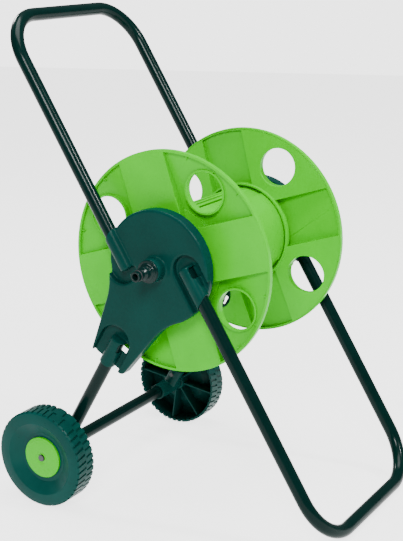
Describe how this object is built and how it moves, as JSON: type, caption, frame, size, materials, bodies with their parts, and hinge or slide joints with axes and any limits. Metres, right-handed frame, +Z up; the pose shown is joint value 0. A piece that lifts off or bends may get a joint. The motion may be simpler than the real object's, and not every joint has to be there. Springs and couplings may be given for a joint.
{
  "type": "garden hose reel cart",
  "caption": "Two-wheeled garden hose cart: a reel with holed flanges turns between side plates on a bent tube frame with a push handle, foot bar, crank and quick-connect water inlet.",
  "frame": {"origin": "on the floor, under the middle of the cart's box at rest", "axes": "+X along the reel's axis, from the inlet side to the crank side; -Y to the front, where the foot bar stands; +Y to the back, where the wheels are; +Z up"},
  "size_m": [0.4574, 0.542, 0.7454],
  "materials": {
    "tube_paint": "gloss",
    "dark_green_plastic": "satin",
    "wheel_plastic": "satin",
    "lime_plastic": "satin",
    "fitting_plastic": "gloss",
    "knob_plastic": "satin",
    "bush_plastic": "satin",
    "zinc_steel": "satin",
    "seal_rubber": "matte"
  },
  "bodies": {
    "frame": {"handle_tube": "tube_paint", "foot_tube": "tube_paint", "leg_tube_left": "tube_paint", "leg_tube_right": "tube_paint", "axle_tube": "tube_paint", "side_plate_left": "dark_green_plastic", "side_plate_right": "dark_green_plastic", "socket_screws_left": "zinc_steel", "socket_screws_right": "zinc_steel", "hub_bush_left": "bush_plastic", "hub_bush_right": "bush_plastic", "axle_connector_left": "dark_green_plastic", "axle_connector_right": "dark_green_plastic", "connector_screws": "zinc_steel", "axle_rod": "zinc_steel", "axle_washers": "zinc_steel", "push_nuts": "zinc_steel", "inlet_spigot": "fitting_plastic", "inlet_nut": "fitting_plastic", "inlet_seal": "seal_rubber", "shaft_seals": "seal_rubber"},
    "reel": {"reel_flange_left": "lime_plastic", "reel_flange_right": "lime_plastic", "barrel_panel_top": "lime_plastic", "barrel_panel_front": "lime_plastic", "barrel_panel_bottom": "lime_plastic", "barrel_panel_back": "lime_plastic", "tie_bolts": "zinc_steel", "tie_nuts": "zinc_steel", "water_elbow": "fitting_plastic", "outlet_seal": "seal_rubber", "crank_shaft": "dark_green_plastic", "drive_pin": "zinc_steel", "crank_arm": "dark_green_plastic", "crank_screw": "zinc_steel", "knob_pin": "zinc_steel"},
    "knob": {"crank_knob": "knob_plastic"},
    "left_wheel": {"wheel_left": "wheel_plastic", "hub_cap_left": "lime_plastic"},
    "right_wheel": {"wheel_right": "wheel_plastic", "hub_cap_right": "lime_plastic"}
  },
  "joints": [
    {"name": "reel_spin", "type": "hinge", "parent": "frame", "child": "reel", "pos_m": [-0.0144, 0.00331, 0.384], "axis": [1, 0, 0], "continuous": true},
    {"name": "knob_spin", "type": "hinge", "parent": "reel", "child": "knob", "pos_m": [0.1952, 0.09857, 0.329], "axis": [1, 0, 0], "continuous": true},
    {"name": "left_wheel_spin", "type": "hinge", "parent": "frame", "child": "left_wheel", "pos_m": [-0.2095, 0.1947, 0.0763], "axis": [1, 0, 0], "continuous": true},
    {"name": "right_wheel_spin", "type": "hinge", "parent": "frame", "child": "right_wheel", "pos_m": [0.1807, 0.1947, 0.0763], "axis": [1, 0, 0], "continuous": true}
  ]
}
